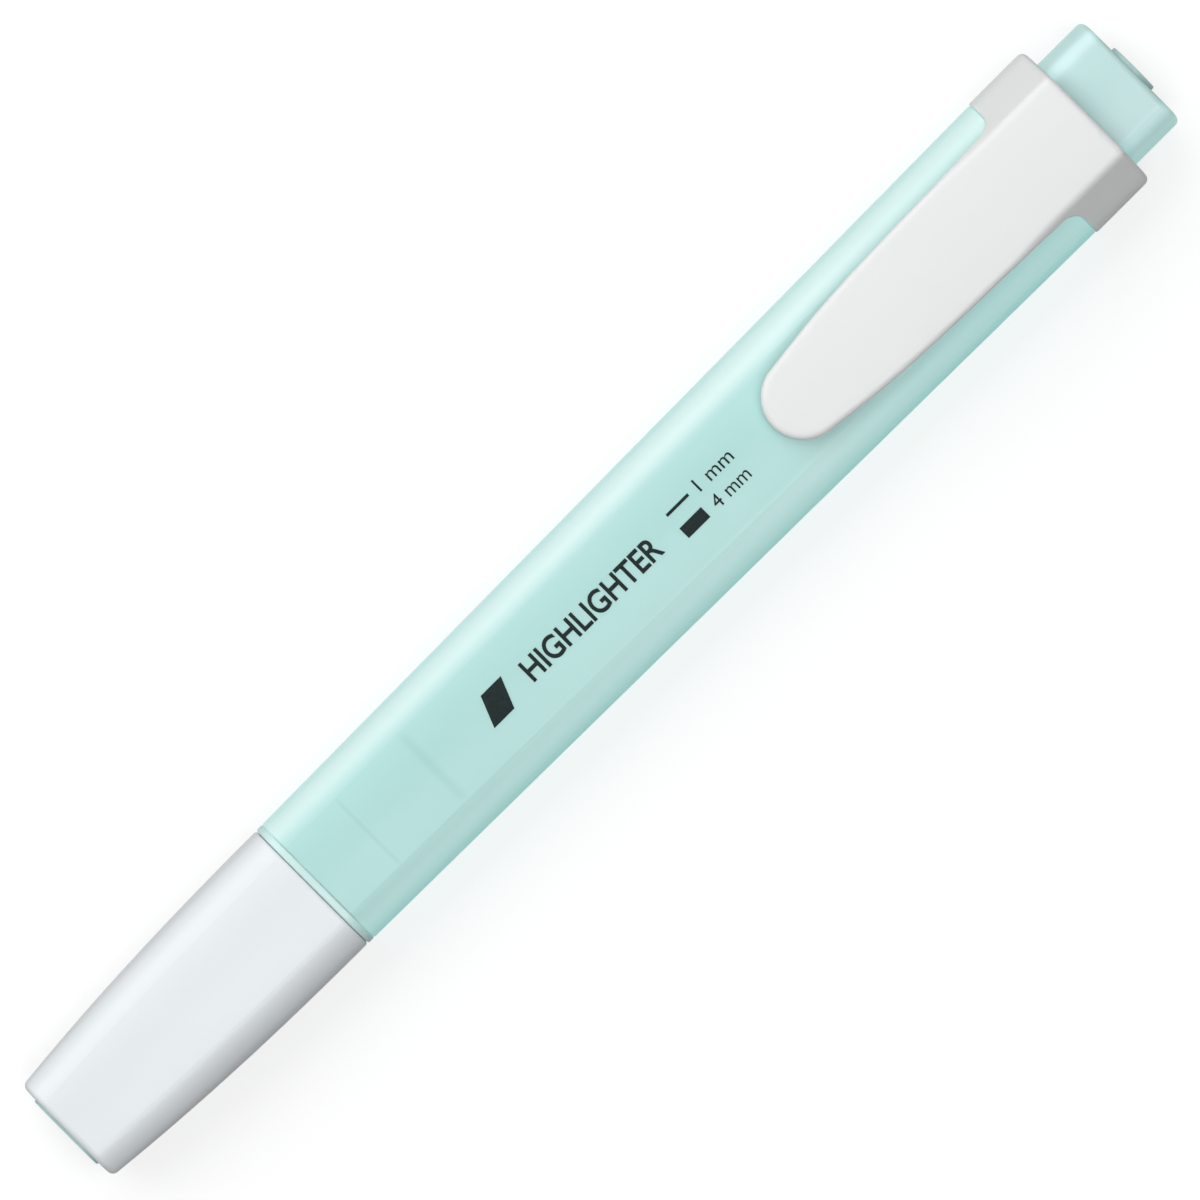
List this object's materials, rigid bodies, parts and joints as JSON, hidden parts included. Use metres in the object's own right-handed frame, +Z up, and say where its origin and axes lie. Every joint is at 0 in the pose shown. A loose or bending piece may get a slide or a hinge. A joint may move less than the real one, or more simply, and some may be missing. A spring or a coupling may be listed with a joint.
{
  "type": "highlighter",
  "caption": "Slim pocket highlighter with an oval translucent pastel barrel, a white pull-off cap over a chisel nib, and a white spring clip at the tail.",
  "frame": {"origin": "centre of the bottom of the bounding box, on the flat land of the barrel's underside", "axes": "+X along the pen from the capped nib to the tail, +Y to the side, +Z up towards the clip"},
  "size_m": [0.139, 0.0166, 0.0146],
  "materials": {
    "tinted_barrel": "satin translucent pastel aqua moulding",
    "tinted_section": "satin pastel aqua moulding",
    "tinted_liner": "satin pastel aqua moulding",
    "white_cap": "satin cool white moulding",
    "white_clip": "satin cool white moulding",
    "nib_felt": "ink-soaked bonded felt",
    "ink_fibre": "ink-soaked fibre bundle",
    "clear_film": "thin clear film"
  },
  "bodies": {
    "body": {"barrel": "tinted_barrel", "front_section": "tinted_section", "nib": "nib_felt", "reservoir_fibre": "ink_fibre", "reservoir_film": "clear_film", "clip_collar": "white_clip"},
    "cap": {"cap_shell": "white_cap", "cap_liner": "tinted_liner"},
    "clip": {"clip_blade": "white_clip"}
  },
  "joints": [
    {"name": "cap_slide", "type": "slide", "parent": "body", "child": "cap", "axis": [-1, 0, 0], "range_m": [0, 0.045]},
    {"name": "clip_flex", "type": "hinge", "parent": "body", "child": "clip", "pos_m": [0.05425, 0, 0.01376], "axis": [0, 1, 0], "range_deg": [0, 5], "stiffness_Nm_per_rad": 0.5}
  ]
}
